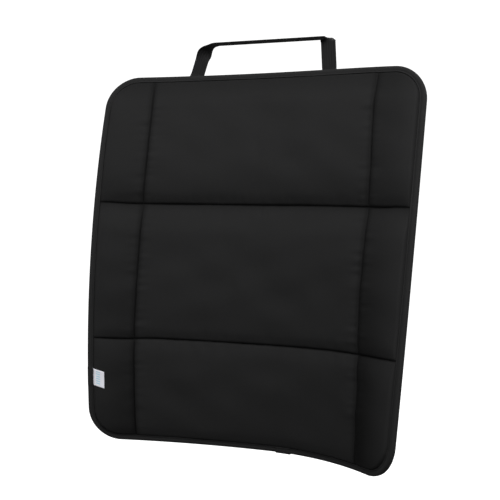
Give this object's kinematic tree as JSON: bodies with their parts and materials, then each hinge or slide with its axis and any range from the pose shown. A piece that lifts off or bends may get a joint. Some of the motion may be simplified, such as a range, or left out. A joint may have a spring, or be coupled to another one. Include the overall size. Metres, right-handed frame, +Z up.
{
  "type": "car seat kick mat",
  "caption": "Quilted padded mat with taped edges and rounded corners that hangs behind a car seat from a webbing loop.",
  "frame": {"origin": "middle of the underside of the loop's top stretch, where the mat hangs", "axes": "+Z up along the mat's height, +X to the right as seen from the front, +Y to the back, so the quilted front faces -Y"},
  "size_m": [0.4463, 0.1204, 0.5398],
  "materials": {
    "cover_cloth": "matt black woven polyester with a faint sheen",
    "foam": "soft sheet wadding, hidden inside",
    "lining_cloth": "plain black woven lining",
    "binding_tape": "black ribbed edge tape",
    "webbing": "black flat webbing",
    "label_cloth": "white woven label with plain pale blue bars"
  },
  "bodies": {
    "root": {"front_cover": "cover_cloth", "foam_padding": "foam", "back_lining": "lining_cloth", "edge_binding": "binding_tape", "headrest_loop": "webbing", "side_label": "label_cloth"}
  },
  "joints": []
}
